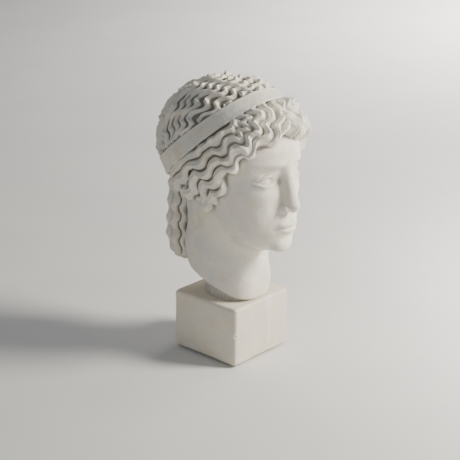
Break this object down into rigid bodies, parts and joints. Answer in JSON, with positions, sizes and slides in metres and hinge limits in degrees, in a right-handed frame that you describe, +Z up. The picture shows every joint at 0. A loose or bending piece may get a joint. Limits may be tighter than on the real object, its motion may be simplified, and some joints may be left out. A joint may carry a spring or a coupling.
{
  "type": "marble bust",
  "caption": "Classical marble head with wavy hair, a broad head band and hanging nape locks, on a square block with concealed rod, nut and felt feet.",
  "frame": {"origin": "middle of the underside, on the plane of the felt feet, under the block's centre", "axes": "+Z up, the face looks along -Y, +X is the head's own left"},
  "size_m": [0.145, 0.1883, 0.318],
  "materials": {
    "marble": "honed, dulled by age, with grey dust in the carving and a warm tone on what stands proud",
    "marble_block": "honed, slightly warmer than the head, with soft worn edges",
    "bedding_plaster": "matte, struck off smooth",
    "steel": "zinc-bright, rolled thread",
    "resin": "amber cast resin",
    "felt": "pressed wool felt"
  },
  "bodies": {
    "root": {"head": "marble", "neck_seat": "bedding_plaster", "plinth": "marble_block", "mounting_rod": "steel", "rod_resin": "resin", "washer": "steel", "nut": "steel", "felt_foot_front_left": "felt", "felt_foot_back_left": "felt", "felt_foot_front_right": "felt", "felt_foot_back_right": "felt"}
  },
  "joints": []
}
